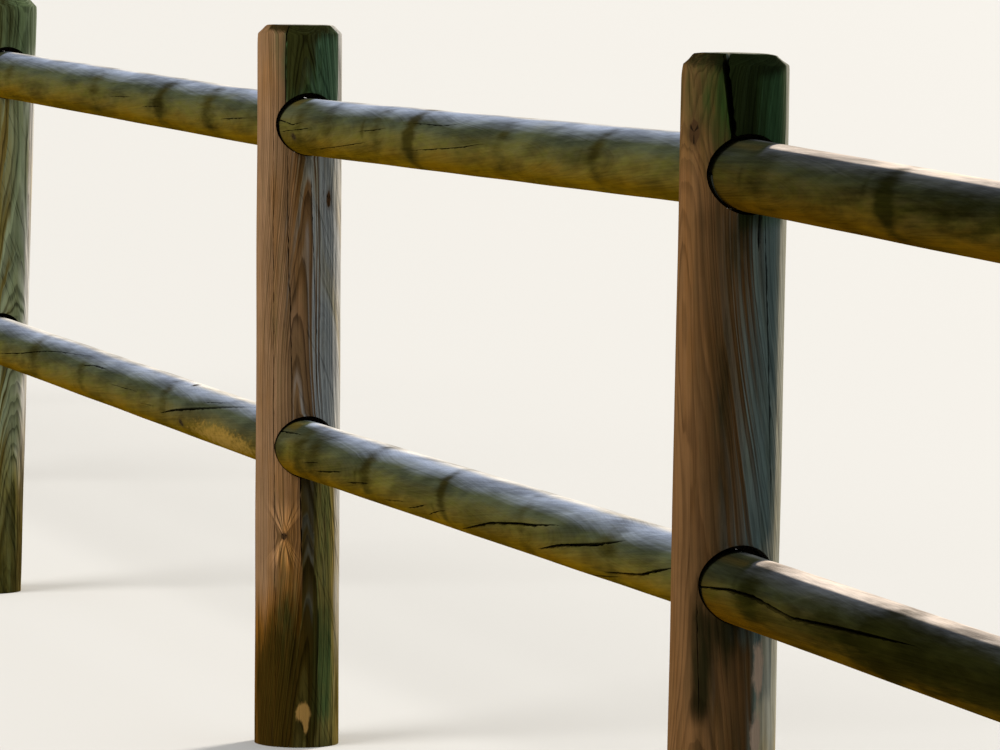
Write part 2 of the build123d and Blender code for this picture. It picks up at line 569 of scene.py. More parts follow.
def saw_cut(bm, timber, tongue):
    """Adds the block that is sawn off beside a tongue."""
    at_left, shoulder, flat = tongue
    spare = 0.005
    middle_along = (shoulder - spare) / 2 if at_left else timber.length - (shoulder - spare) / 2
    outer = -(timber.radius + spare) if at_left else timber.radius + spare
    shift = Matrix.Translation((((flat + outer) / 2), 0, middle_along))
    size = Matrix.Diagonal((abs(outer - flat), 2 * (timber.radius + spare), shoulder + spare, 1))
    bmesh.ops.create_cube(bm, size=1.0, matrix=place_of(timber) @ shift @ size)


# %% [markdown]
# ### Taking the cuts
#
# The cutters carry a second material and leave it on every face that they cut, because cut
# wood weathers less than the outside. Where the two meet is a rim, and a rim wears first.

# %% Cut a timber
rim_wear = 0.0005


def cut_away(piece, timber, add_cutter, cuts):
    """Takes the cutters' shapes off a piece and leaves their second material on the cut."""
    bm = bmesh.new()
    for cut in cuts:
        add_cutter(bm, timber, cut)
    for face in bm.faces:
        face.material_index = 1
    blade_mesh = bpy.data.meshes.new("cutter")
    bm.to_mesh(blade_mesh)
    bm.free()
    blade = bpy.data.objects.new("cutter", blade_mesh)
    for material in piece.data.materials:
        blade_mesh.materials.append(material)
    bpy.context.scene.collection.objects.link(blade)
    boolean = piece.modifiers.new("cut", "BOOLEAN")
    boolean.operation = "DIFFERENCE"
    boolean.solver = "MANIFOLD"
    boolean.material_mode = "INDEX"
    boolean.object = blade
    whole = piece.data
    depsgraph = bpy.context.evaluated_depsgraph_get()
    piece.data = bpy.data.meshes.new_from_object(piece.evaluated_get(depsgraph))
    piece.modifiers.clear()
    bpy.data.objects.remove(blade)
    bpy.data.meshes.remove(whole)


def soften_cut(mesh):
    """Wears the rim where a cut meets the outside."""
    bm = bmesh.new()
    bm.from_mesh(mesh)
    rim = [v for v in bm.verts if len({face.material_index for face in v.link_faces}) == 2]
    for vertex in rim:
        vertex.co -= rim_wear * vertex.normal
    bm.to_mesh(mesh)
    bm.free()


# %% [markdown]
# ## Where the knots lie
#
# A knot is the root of a branch that the trunk grew round. Those that show are listed one
# by one: where each lies, how large it is, how far it is stretched along the grain, and how
# strongly pale fibres fan out round it. The others come from a seeded draw.

# %% Place the knots
Knot = namedtuple("Knot", "along around size stretch fan")
knots = {
    "post_4": [Knot(0.775, 30, 0.0042, 2.9, 0.0), Knot(0.300, -33, 0.0050, 1.0, 0.9)],
    "post_5": [Knot(0.942, -66, 0.0085, 1.7, 0.0)],
    "lower_rail_3": [Knot(1.50, 112, 0.0060, 1.8, 0.0), Knot(1.47, 10, 0.005, 1.6, 0.0)],
    "top_rail_4": [Knot(0.15, 108, 0.0045, 2.6, 0.0)],
}


def scattered_knots(timber):
    """Small knots, two or three at one height, as the branches of a young tree grow."""
    draw = seeded(timber, 2)
    made = []
    along = draw.uniform(0.10, 0.30)
    while along < timber.length - 0.08:
        for around in draw.uniform(0, 360, 3):
            height = along + draw.uniform(-0.02, 0.02)
            size = draw.uniform(0.003, 0.006)
            stretch, fan = draw.uniform(1.2, 2.2), draw.uniform(0, 0.4)
            if not in_photo(timber, around):
                made.append(Knot(height, around, size, stretch, fan))
        along += draw.uniform(0.28, 0.50)
    return made


print(sum(len(here) for here in knots.values()), "knots are placed by hand")

# %% [markdown]
# ## What the weather did where, and the light and shade painted on
#
# Paint for wood can be one pattern for all of it, but here the finish depends on which
# side faced the sun, the rain or the ground. So each point of a mesh carries what the
# weather did to it, and the light and shade painted on it. The first amount runs from 0,
# where the wood was sheltered and stayed warm in colour, to 1, where the sun bleached it.
# The same amount is raised for painted highlights on sunlit edges and tops, and lowered for
# the painted shadows that posts cast on rails. Four more amounts say how damp, how green,
# how stained and how bare it is; on some timbers the stain is painted shade as well. A zone
# has a sharp left side, because a check keeps water and algae on one side of it, and its
# right side may fade. Patches are single soft spots. Bands are the dark rings across a
# rail, each with its place and its strength.

# %% List the zones, patches and bands that show
# A zone reaches from low to high and from left to right, where it fades over some degrees
Zone = namedtuple("Zone", "layer strength low high left right fade", defaults=(1.5,))
wet_edge_4 = [(0.20, -7), (0.32, -9), (0.41, -11)]
grey_edge_4 = [(0.47, 12), (0.59, 11), (0.70, 8), (0.77, 5), (0.84, 3)]
head_split_5 = [(0.90, -12), (0.935, -18), (0.97, -23), (1.00, -27), (1.03, -31), (1.08, -33)]
zones = {
    "post_3": [
        Zone("bleach_and_light", -0.15, 0.40, 0.85, -110, -5, 8),
        Zone("algae", 0.35, 0.40, 0.86, 12, 50, 6),
        Zone("stain", -0.15, 0.00, 0.30, -20, 50, 8),
    ],
    "post_4": [
        Zone("algae", -0.30, 0.84, 1.10, -115, head_split_4),
        Zone("stain", -1.20, 0.84, 1.10, -115, head_split_4),
        Zone("algae", 0.60, 0.86, 1.10, head_split_4, 48, 3),
        Zone("stain", 0.38, 0.86, 1.10, head_split_4, -2, 20),
        # No algae on the head's far edge, so that the painted highlight there runs over the head.
        Zone("algae", -1.50, 0.84, 1.10, 51, 130),
        Zone("stain", 0.90, 1.004, 1.10, -70, 48, 6),
        Zone("stain", 2.00, 1.012, 1.10, -90, head_split_4),
        Zone("bleach_and_light", -0.06, 0.46, 0.86, brown_edge_4, grey_edge_4),
        Zone("bleach_and_light", -0.06, 0.20, 0.42, -60, wet_edge_4),
        Zone("bleach_and_light", -0.10, 0.22, 0.42, -32, wet_edge_4),
        Zone("damp", 0.20, 0.16, 0.42, -60, wet_edge_4),
        Zone("stain", 0.95, 0.02, 0.39, wet_edge_4, 12, 7),
        Zone("algae", 0.35, 0.04, 0.40, 8, 40, 6),
        Zone("damp", 0.80, 0.00, 0.40, 8, 44, 5),
    ],
    "post_5": [
        Zone("algae", 0.14, 0.88, 1.10, -115, head_split_5),
        Zone("stain", -0.30, 0.86, 1.10, -115, head_split_5),
        Zone("algae", 0.60, 0.84, 1.10, head_split_5, 50, 4),
        Zone("stain", 0.70, 0.84, 1.10, head_split_5, 2, 22),
        # No algae on the head's far edge, so that the painted highlight there runs over the head.
        Zone("algae", -1.50, 0.84, 1.10, 52, 130),
        Zone("stain", 1.10, 1.011, 1.10, -115, 50, 6),
        Zone("stain", 0.45, 0.30, 0.42, -56, -30, 6),
        Zone("bleach_and_light", 0.08, 0.30, 0.86, -62, -20, 10),
        Zone("bleach_and_light", 0.08, 0.20, 0.50, 16, 40, 6),
        Zone("bleach_and_light", -0.14, 0.05, 0.38, -25, 14, 8),
        Zone("bleach_and_light", 0.10, 0.05, 0.32, 20, 60, 6),
        # The far edge paler all the way up: a painted highlight.
        Zone("bleach_and_light", 0.30, 0.05, 1.10, 45, 100),
    ],
    # A rail's first stretch beside its left post is darker on top: a painted shadow of the post.
    "top_rail_3": [Zone("bleach_and_light", -0.30, 0.00, 0.13, -60, 40, 15)],
    "top_rail_4": [Zone("bleach_and_light", -0.30, 0.00, 0.13, -60, 40, 15)],
    # On the fifth bay's rails a paler strip along the top is a painted highlight where the sun falls, and
    # the first stretch is a painted shadow of the post.
    "top_rail_5": [
        Zone("bleach_and_light", 0.35, 0.18, 2.10, -20, 24, 8),
        Zone("bleach_and_light", -0.35, 0.00, 0.18, -60, 40, 15),
    ],
    "lower_rail_4": [Zone("bleach_and_light", -0.30, 0.00, 0.14, -60, 40, 15)],
    "lower_rail_5": [
        Zone("bleach_and_light", 0.35, 0.17, 2.10, -20, 22, 8),
        Zone("bleach_and_light", -0.35, 0.00, 0.17, -60, 40, 15),
    ],
}
Patch = namedtuple("Patch", "layer along around length spread strength")
patches = {
    "post_3": [Patch("stain", 0.20, 60, 0.20, 40, 0.35)],
    "post_4": [
        Patch("stain", 0.02, -52, 0.050, 24, 0.60),
        Patch("stain", 0.10, -30, 0.090, 34, 0.55),
        Patch("stain", 0.12, -75, 0.090, 26, 0.40),
        Patch("damp", 0.13, -50, 0.080, 60, 0.40),
        Patch("algae", 0.20, -34, 0.070, 16, 0.40),
        Patch("bare", 0.050, -6, 0.014, 11, 1.05),
        Patch("bare", 0.030, -2, 0.016, 4, 0.80),
        Patch("damp", 0.79, -50, 0.030, 10, 0.30),
        Patch("stain", 0.83, -8, 0.050, 16, 0.35),
        Patch("damp", 0.80, -10, 0.060, 18, 0.40),
        Patch("algae", 0.60, -46, 0.060, 7, 0.25),
        Patch("stain", 0.06, 30, 0.080, 14, -0.60),
        Patch("damp", 0.01, 0, 0.030, 90, 0.60),
    ],
    "post_5": [
        Patch("stain", 0.40, -10, 0.045, 26, 0.80),
        Patch("stain", 0.83, -6, 0.050, 16, 0.60),
        Patch("stain", 0.64, -22, 0.260, 9, 0.50),
        Patch("stain", 0.27, -44, 0.160, 9, 0.50),
        Patch("bare", 0.355, 22, 0.036, 8, 0.95),
        Patch("bare", 0.280, 20, 0.024, 8, 1.00),
    ],
    # The darker tops near the rails' left ends are a painted shadow of the post.
    "lower_rail_4": [
        Patch("bleach_and_light", 0.10, 30, 0.16, 45, -0.22),
        Patch("bleach_and_light", 0.10, 85, 0.035, 28, 0.12),
        Patch("bleach_and_light", 1.75, 60, 0.45, 22, 0.05),
        Patch("damp", 0.15, 120, 0.20, 30, 0.50),
    ],
    "top_rail_4": [
        Patch("bleach_and_light", 0.10, 25, 0.15, 40, -0.16),
        Patch("damp", 0.10, 105, 0.12, 30, -0.30),
    ],
    # On the fifth bay's rails these stains are partly dark damp wood and partly painted shade.
    "top_rail_5": [
        Patch("stain", 0.85, 80, 0.40, 45, 0.60),
        Patch("stain", 1.42, 135, 0.16, 40, 0.50),
        Patch("stain", 1.60, 80, 0.50, 55, 0.60),
    ],
    "lower_rail_5": [
        Patch("stain", 0.75, 85, 0.42, 62, 0.95),
        Patch("stain", 1.40, 135, 0.14, 40, 0.40),
        Patch("stain", 1.50, 78, 0.60, 58, 0.80),
        Patch("damp", 0.14, 125, 0.16, 35, 0.50),
    ],
    # Near the fourth post, less algae and stain and a bare patch paint the warm light reflected from the
    # ground.
    "lower_rail_3": [
        Patch("algae", 1.70, 100, 0.30, 55, -0.50),
        Patch("stain", 1.70, 105, 0.30, 55, -0.40),
        Patch("bare", 1.75, 116, 0.25, 40, 0.66),
    ],
}
bands = {
    "top_rail_3": [(0.28, 0.5), (0.90, 0.6), (1.34, 0.9), (1.65, 0.7)],
    "top_rail_4": [(0.19, 0.6), (0.345, 0.5), (0.60, 0.5), (0.765, 1.1), (1.20, 0.5), (1.62, 0.7)],
    "lower_rail_3": [(0.50, 0.7), (0.86, 0.6), (1.38, 0.7)],
    "lower_rail_4": [
        (0.075, 0.5), (0.195, 0.7), (0.29, 0.7), (0.57, 0.9), (0.97, 0.9), (1.33, 0.5), (1.70, 0.6),
    ],
    "lower_rail_5": [(0.22, 0.7), (0.62, 0.8), (1.10, 0.8)],
}
print(sum(map(len, zones.values())), "zones and", sum(map(len, patches.values())), "patches")


# %% [markdown]
# ### The pith
#
# The pith is the middle of the rings, and it seldom lies in the middle of a turned log. It
# has to be placed, because the side nearest to it shows arches and the far one straight
# lines. On the three posts that show it is where their arches put it.

# %% Place the pith
Pith = namedtuple("Pith", "offset around taper")  # off the axis, towards which side, rings' slope
piths = {
    "post_4": Pith(0.033, -7, 0.027),
    "post_5": Pith(0.020, -60, 0.020),
    "post_3": Pith(0.022, 30, 0.022),
}


def usual_pith(timber, draw):
    """Posts have it on any side. A rail's lies low, on the side that the viewer sees."""
    if kind(timber) == "post":
        return Pith(draw.uniform(0.008, 0.030), draw.uniform(-180, 180), 0.024)
    return Pith(draw.uniform(0.016, 0.024), draw.uniform(85, 105), 0.034)


# %% [markdown]
# ### Slanting grain and old strokes
#
# Two things cross the usual grain. High on the fourth post the fibres turn aside on one
# flank. And faint strokes of the blade that shaped the logs still cross the fibres at a
# steep slope. Both are a turn round the log that grows with height, so the noise that draws
# straight fibres draws these too.

# %% Slant the grain
Slant = namedtuple("Slant", "along length left right slope")  # slope in degrees a metre
slants = {"post_4": Slant(0.66, 0.18, 4, 26, -400.0)}
stroke_slope = {"post": -400.0, "rail": -420.0}  # how steeply old scratches cross the grain


def slanted(timber, along, around):
    """Degrees by which the grain turns aside in a stretch of slanted fibres."""
    if timber.name not in slants:
        return 0.0
    slant = slants[timber.name]
    side = smooth_step(slant.left, slant.right, around)
    return side * slant.slope * slant.length * np.tanh((along - slant.along) / slant.length)


# %% [markdown]
# ### The usual weather
#
# Most weathering is alike on all posts and on all rails, so one function for each kind
# gives the usual amounts: by the side that a place faces, and on a post by its height too.
# The side also carries painted highlights on sunlit edges and tops. Zones and patches are
# then added to them.

# %% Spread the weather and painted light over a timber
# Round a post the near side is warm, partly as painted light from the front. Past about 54 degrees the far
# edge is full silver: partly bleached wood, partly a painted highlight where the sun from behind catches
# it.
post_bleach_and_light = [
    (-180, 0.90), (-150, 0.55), (-125, 0.15), (-100, 0.0), (-68, 0.15), (-46, 0.25), (-18, 0.48),
    (0, 0.60), (25, 0.75), (45, 0.87), (54, 1.0), (150, 1.0), (180, 0.90),
]  # degrees round a post, and how much sun that side has had
# A rail's top is full silver: partly bleached wood, partly a painted highlight where the sun catches the
# top.
rail_bleach_and_light = [
    (-180, 0.0), (-150, 0.1), (-115, 0.3), (-85, 0.5), (-60, 0.8), (-35, 1.0), (0, 1.0),
    (13, 0.84), (26, 0.72), (38, 0.63), (48, 0.58), (59, 0.495), (75, 0.355), (90, 0.285),
    (105, 0.21), (120, 0.15), (140, 0.0), (180, 0.0),
]  # the same round a rail


def lobe(around, centre, spread):
    """1 where a side faces one way, falling off to both sides, all in degrees."""
    return np.exp(-((((around - centre + 180) % 360 - 180) / spread) ** 2))


def edge_of(edge, along):
    """A zone's side at each height: it may be one angle or a path."""
    return np.interp(along, *zip(*edge)) if isinstance(edge, list) else edge


def zone_mask(zone, along, around):
    """1 inside a zone. Its ends are soft and its left side is sharp."""
    soft = 0.014
    inside = smooth_step(zone.low - soft, zone.low + soft, along)
    inside = inside * (1 - smooth_step(zone.high - soft, zone.high + soft, along))
    left = smooth_step(-1.5, 1.5, around - edge_of(zone.left, along))
    right = smooth_step(-zone.fade, zone.fade, edge_of(zone.right, along) - around)
    return inside * left * right


def weather_and_light_of_post(timber, along, around, draw):
    """The usual weathering of a post: a dark green head, a damp foot, one side bleached and a far edge
    that is partly a painted highlight.
    """
    ragged = waves(draw, np.radians(around), along, 4, 0.25, 9)
    head = smooth_step(timber.length - 0.15, timber.length - 0.05, along + 0.02 * ragged)
    shelter = lobe(around, -92, 42)
    foot = 1 - smooth_step(0.06, 0.34, along + 0.05 * ragged + 0.13 * shelter)
    soak = 1 - smooth_step(0.02, 0.32, along + 0.05 * ragged)
    bleach_and_light = np.interp(around, *zip(*post_bleach_and_light))
    return {
        "bleach_and_light": bleach_and_light,
        "algae": head * (1.05 * lobe(around, 30, 60) + 0.30) + 0.45 * foot * lobe(around, 40, 60),
        "stain": 0.65 * foot + 0.70 * head * lobe(around, -12, 30),
        "damp": 0.80 * soak + 0.15,
        "bare": np.zeros_like(along),
    }


def weather_and_light_of_rail(timber, along, around, draw):
    """The usual weathering of a rail: bleached on top, partly as a painted highlight, brown below, with
    dark bands across.
    """
    ragged = waves(draw, np.radians(around), along, 3, 0.35, 9)
    steps = np.cumsum(draw.uniform(0.18, 0.5, 12))
    usual_bands = [(step, draw.uniform(0.5, 0.9)) for step in steps if step < timber.length - 0.1]
    band = np.zeros_like(along)
    for centre, strength in bands.get(timber.name, usual_bands):
        slant = centre + 0.012 * np.sin(np.radians(around + 360 * draw.random()))
        wide = draw.uniform(0.022, 0.052)
        band = np.maximum(band, strength * np.exp(-(((along - slant) / wide) ** 2)))
        arc = slant - draw.uniform(0.040, 0.065)
        part = draw.uniform(0.3, 0.6) * lobe(around, draw.uniform(50, 125), draw.uniform(18, 34))
        band = np.maximum(band, part * np.exp(-(((along - arc) / 0.009) ** 2)))
    turned = (around + 5 * ragged + 180) % 360 - 180
    return {
        "bleach_and_light": np.interp(turned, *zip(*rail_bleach_and_light)),
        "algae": 0.05 + 0.35 * lobe(around, 88, 25),
        "stain": band * (0.42 + 0.60 * lobe(around, 80, 50)),
        "damp": 0.60 * lobe(around, 165, 65),
        "bare": np.zeros_like(along),
    }


# %% [markdown]
# ### Ends and depths
#
# Sawn ends have no sides, so the weather on them is even. A check's floor is painted dark
# for the shade that falls deep in the log, so each point also needs its depth under the
# unworn surface.

# %% Tell ends and checks from sides
sawn_ends = {
    "post": {"bleach_and_light": 0.95, "algae": 0.05, "stain": 0.15, "damp": 0.15, "bare": 0.0},
    "rail": {"bleach_and_light": 0.55, "algae": 0.05, "stain": 0.20, "damp": 0.15, "bare": 0.0},
}


def end_grain(timber, along, reach):
    """1 on a head's flat or a rail's sawn end, where no side has had more weathering."""
    if kind(timber) == "post":
        top = 1 - smooth_step(0.006, 0.012, timber.length - along)
        return top * (1 - smooth_step(0.030, 0.044, reach))
    return 1 - smooth_step(0.0005, 0.003, np.minimum(along, timber.length - along))


def inside_depth(timber, along, reach):
    """How far a point lies inside the timber's unworn surface."""
    depth = np.minimum(timber.radius - reach, timber.length - along)
    if kind(timber) == "rail":
        return np.minimum(depth, along)
    cone = (timber.radius + timber.length - head_cone - reach - along) / 2**0.5
    near_rim = np.exp(-(((timber.length - along - 0.008) / 0.015) ** 2))
    worn = 1.6 * head_wear.get(timber.name, usual_head_wear) * near_rim
    return np.minimum(depth, cone) - worn


# %% [markdown]
# ### Writing it into the mesh
#
# A material can't ask which timber it is on, but it can read named vectors that the mesh
# carries. Five of them say where a point lies in the grain, in the strokes and beside the
# pith, and what the weather and wear did, with the light and shade painted there:
# highlights, shadows of posts, and shade in the checks. A sixth says how far off the
# nearest knot is. That one belongs to the corners of faces, so that each face keeps to a
# single knot.

# %% Mark the weather, the painted light and the knots
timber_shift = 3.0  # metres between two timbers in the noise, so that no two look alike
far_off = 30  # knot widths at which a knot no longer matters


def store(mesh, name, values, domain="POINT"):
    """Keeps a vector for each point or corner under a name that a material can read."""
    attribute = mesh.attributes.new(name, "FLOAT_VECTOR", domain)
    attribute.data.foreach_set("vector", np.ascontiguousarray(values, np.float32).ravel())


def mark_weather_and_light(mesh, timber, number):
    """Stores where each point lies in the log, its weathering, and the light and shade painted on it."""
    points = np.zeros(len(mesh.vertices) * 3, np.float32)
    mesh.vertices.foreach_get("co", points)
    local = points.reshape(-1, 3) - timber.start
    along, x, y = (local @ axis for axis in (timber.grain, timber.out, timber.side))
    reach = np.hypot(x, y)
    around = np.degrees(np.arctan2(y, x))

    draw = seeded(timber, 3)
    post = kind(timber) == "post"
    turned = np.radians(around - spiral_of(timber) * along - slanted(timber, along, around))
    crossed = np.radians(around - stroke_slope[kind(timber)] * along)
    for name, angle in (("grain", turned), ("stroke", crossed)):
        place = (reach * np.cos(angle), reach * np.sin(angle), along + timber_shift * number)
        store(mesh, name, np.stack(place, axis=-1))
    pith = piths.get(timber.name) or usual_pith(timber, draw)
    sway = 0.10 * timber.radius
    pith_x = pith.offset * cos(radians(pith.around)) + sway * waves(draw, 0, along, 0, 0.9, 4)
    pith_y = pith.offset * sin(radians(pith.around)) + sway * waves(draw, 0, along, 0, 0.9, 4)
    store(mesh, "pith", np.stack((x - pith_x, y - pith_y, pith.taper * along), axis=-1))

    weather = (weather_and_light_of_post if post else weather_and_light_of_rail)(timber, along, around, draw)
    for zone in zones.get(timber.name, []):
        weather[zone.layer] = weather[zone.layer] + zone.strength * zone_mask(zone, along, around)
    for patch in patches.get(timber.name, []):
        spot = lobe(around, patch.around, patch.spread)
        spot = spot * np.exp(-(((along - patch.along) / patch.length) ** 2))
        weather[patch.layer] = weather[patch.layer] + patch.strength * spot
    flat = end_grain(timber, along, reach)
    for layer, amount in sawn_ends[kind(timber)].items():
        weather[layer] = weather[layer] * (1 - flat) + amount * flat
    store(mesh, "weather", np.stack([weather[k] for k in ("bleach_and_light", "algae", "stain")], axis=-1))
    # Painted shade in the checks: the deeper a point lies, the darker it is painted.
    check = smooth_step(0.0014, 0.0050, inside_depth(timber, along, reach))
    store(mesh, "wear", np.stack((weather["damp"], weather["bare"], check), axis=-1))
    return along, around


def mark_knots(mesh, timber, along, around):
    """Stores each corner's place beside the nearest knot, in widths of that knot."""
    here = knots.get(timber.name, []) + scattered_knots(timber)
    corner_vertex = np.zeros(len(mesh.loops), np.int32)
    mesh.loops.foreach_get("vertex_index", corner_vertex)
    counts = np.zeros(len(mesh.polygons), np.int32)
    mesh.polygons.foreach_get("loop_total", counts)
    first = np.zeros(len(mesh.polygons), np.int32)
    mesh.polygons.foreach_get("loop_start", first)
    lead = corner_vertex[first]
    spans = []
    for knot in here:
        sideways = np.radians((around - knot.around + 180) % 360 - 180) * timber.radius / knot.size
        upward = (along - knot.along) / (knot.size * knot.stretch)
        spans.append(np.stack((sideways, upward), axis=-1))
    spans = np.array(spans)
    fans = np.array([knot.fan for knot in here])
    nearest = np.argmin(np.hypot(spans[:, lead, 0], spans[:, lead, 1]), axis=0)
    owner = np.repeat(nearest, counts)
    place = np.clip(spans[owner, corner_vertex], -far_off, far_off)
    store(mesh, "knot", np.column_stack((place, owner + fans[owner])), "CORNER")
    return len(here)


# %% [markdown]
# ## Painting wood with nodes
#
# Weathered wood is many layers: growth rings, fibres, knots, grey film, algae and dirt. As
# one long material they would be hard to follow, and posts and rails both need them. So
# each layer is a node group with named inputs and outputs, and each kind of timber places
# the last group with its own colours. Writing nodes by hand takes many lines, so a small
# class places them, links what it is given, and hands back the output.

# %% A class that wires nodes
class Wiring:
    """Places nodes in one tree and links their sockets as it goes."""

    def __init__(self, tree):
        self.tree = tree

    def place(self, kind, sockets, **settings):
        """A node with its settings, and with a value or a link in each named socket."""
        made = self.tree.nodes.new("ShaderNode" + kind)
        for name, value in settings.items():
            setattr(made, name, value)
        for name, value in sockets.items():
            if isinstance(value, bpy.types.NodeSocket):
                self.tree.links.new(value, made.inputs[name])
            else:
                made.inputs[name].default_value = value
        return made

    def attribute(self, name):
        """A vector stored on the mesh."""
        return self.place("Attribute", {}, attribute_name=name).outputs["Vector"]

    def split(self, vector):
        """The three numbers of a vector."""
        return self.place("SeparateXYZ", {0: vector}).outputs

    def maths(self, operation, a, b=0.0, c=0.0):
        """One sum on numbers."""
        return self.place("Math", {0: a, 1: b, 2: c}, operation=operation).outputs[0]

    def add_share(self, value, share, base, centre=0.5):
        """The base, raised where a value is over its centre and lowered where it is under."""
        return self.maths("MULTIPLY_ADD", self.maths("SUBTRACT", value, centre), share, base)

    def between(self, value, low, high):
        """0 at low, 1 at high and an easy curve between them."""
        sockets = {"Value": value, "From Min": low, "From Max": high}
        return self.place("MapRange", sockets, interpolation_type="SMOOTHSTEP").outputs[0]

    def mix(self, amount, a, b, blend="MIX"):
        """One colour laid over another."""
        sockets = {0: amount, 6: a, 7: b}
        return self.place("Mix", sockets, data_type="RGBA", blend_type=blend).outputs[2]

    def noise(self, vector, scale, detail=2.0, roughness=0.5):
        """Cloudy noise with its own scale across the log, x and y, and along it, z."""
        scaled = self.place("VectorMath", {0: vector, 1: scale}, operation="MULTIPLY").outputs[0]
        sockets = {"Vector": scaled, "Scale": 1.0, "Detail": detail, "Roughness": roughness}
        return self.place("TexNoise", sockets).outputs[0]

    def noise_of(self, number, scale, detail=2.0):
        """Noise that changes with one number only."""
        sockets = {"W": number, "Scale": scale, "Detail": detail}
        return self.place("TexNoise", sockets, noise_dimensions="1D").outputs[0]

    def group(self, name, **sockets):
        """The outputs of a node group."""
        return self.place("Group", sockets, node_tree=bpy.data.node_groups[name]).outputs

    def put_out(self, **values):
        """Links values to the outputs of the group."""
        for name, value in values.items():
            self.tree.links.new(value, self.outputs[name])
        print(self.tree.name, "has", len(self.tree.nodes), "nodes")


def start_group(name, inputs, outputs):
    """A node group with named sockets, ready to be wired."""
    tree = bpy.data.node_groups.new(name, "ShaderNodeTree")
    socket_types = {1: "NodeSocketFloat", 3: "NodeSocketVector", 4: "NodeSocketColor"}
    for label, value in inputs.items():
        size = len(value) if isinstance(value, tuple) else 1
        socket = tree.interface.new_socket(label, in_out="INPUT", socket_type=socket_types[size])
        socket.default_value = value
    for label, size in outputs.items():
        tree.interface.new_socket(label, in_out="OUTPUT", socket_type=socket_types[size])
    wires = Wiring(tree)
    wires.inputs = tree.nodes.new("NodeGroupInput").outputs
    wires.outputs = tree.nodes.new("NodeGroupOutput").inputs
    return wires


# %% [markdown]
# ### Growth rings
#
# A turned log shows its rings twice: as circles on its sawn ends, and as long lines and
# pointed arches along its side, where the surface cuts through one ring after another. Both
# come by themselves when the rings are real surfaces in the wood. The distance from the pith
# is divided by the width of a ring. The pith lies off the middle, and the rings taper
# upwards, so the side nearest to the pith shows arches. A tint that follows several rings
# at a time stands for good and bad years.

# %% Build the growth rings
wires = start_group(
    "growth rings",
    {"Pith": (0.0, 0.0, 0.0), "Grain": (0.0, 0.0, 0.0), "Knot": (30.0, 30.0, 0.0), "Ring Width": 0.0015},
    {"Latewood": 1, "Years": 1},
)
x, y, taper = wires.split(wires.inputs["Pith"])
pith_distance = wires.maths("SQRT", wires.maths("MULTIPLY_ADD", x, x, wires.maths("MULTIPLY", y, y)))
wobble = wires.noise(wires.inputs["Grain"], (30.0, 30.0, 3.0), 3.0)
knot_x, knot_y, _ = wires.split(wires.inputs["Knot"])
knot_square = wires.maths("MULTIPLY_ADD", knot_x, knot_x, wires.maths("MULTIPLY", knot_y, knot_y))
bulge = wires.maths("EXPONENT", wires.maths("MULTIPLY", knot_square, -1 / 3.0**2))
distance = wires.maths("MULTIPLY_ADD", wobble, 0.0050, pith_distance)
distance = wires.maths("MULTIPLY_ADD", bulge, 0.0035, distance)
distance = wires.maths("ADD", distance, taper)
ring = wires.maths("DIVIDE", distance, wires.inputs["Ring Width"])
ring = wires.maths("MULTIPLY_ADD", wires.noise_of(ring, 0.31), 2.0, ring)
part = wires.maths("FRACT", ring)
latewood = wires.maths("MULTIPLY", wires.between(part, 0.35, 0.85), wires.between(part, 1.0, 0.90))
years = wires.between(wires.noise_of(ring, 0.75, 1.0), 0.30, 0.70)
wires.put_out(Latewood=latewood, Years=years)

# %% [markdown]
# ### Fibres
#
# Between the rings the wood is a bundle of fibres, far longer than they are wide. Noise
# that is stretched along the grain gives them. Two sizes are enough: fine ones for the
# sheen and the bump, and broad streaks that lighten and darken whole strips. Where the
# noise passes its middle value lies a thin winding line, which makes hairline checks.

# %% Build the fibres
wires = start_group(
    "wood fibres", {"Grain": (0.0, 0.0, 0.0)}, {"Fibre": 1, "Streak": 1, "Hairline": 1}
)
grain = wires.inputs["Grain"]
fibre = wires.between(wires.noise(grain, (480.0, 480.0, 7.0), 3.0), 0.30, 0.70)
streak = wires.between(wires.noise(grain, (130.0, 130.0, 2.2), 3.0, 0.6), 0.30, 0.70)
ridge = wires.noise(grain, (60.0, 60.0, 0.7), 1.0)
ridge = wires.maths("ABSOLUTE", wires.maths("SUBTRACT", ridge, 0.5))
open_here = wires.between(wires.noise(grain, (40.0, 40.0, 5.0), 1.0), 0.52, 0.60)
hairline = wires.maths("MULTIPLY", wires.between(ridge, 0.012, 0.003), open_here)
wires.put_out(Fibre=fibre, Streak=streak, Hairline=hairline)

# %% [markdown]
# ### Knots
#
# A knot is the root of a branch: a dark hard heart, often split like a star. The mesh says
# how far each point is from the nearest knot, in widths of that knot. A heart is then where
# this distance is under one, with a noisy edge. Round some knots the turning tool cut the
# fibres that bend outwards, and they show as pale lines which fan out up and down. The
# fraction of the knot's number says how strong its fan is.

# %% Build the knots
wires = start_group(
    "knot",
    {"Grain": (0.0, 0.0, 0.0), "Knot": (30.0, 30.0, 0.0)},
    {"Heart": 1, "Halo": 1, "Split": 1, "Fan": 1},
)
knot_x, knot_y, number = wires.split(wires.inputs["Knot"])
knot_square = wires.maths("MULTIPLY_ADD", knot_x, knot_x, wires.maths("MULTIPLY", knot_y, knot_y))
reach = wires.maths("SQRT", knot_square)
ragged = wires.noise(wires.inputs["Grain"], (260.0, 260.0, 130.0), 2.0)
distance = wires.maths("MULTIPLY_ADD", wires.maths("SUBTRACT", ragged, 0.5), 0.7, reach)
heart = wires.between(distance, 1.08, 0.80)
halo = wires.between(distance, 2.0, 1.0)
angle = wires.maths("ARCTAN2", knot_y, knot_x)
turned = wires.maths("MULTIPLY_ADD", angle, 3.0, wires.maths("MULTIPLY", number, 7.0))
spokes = wires.maths("SINE", turned)
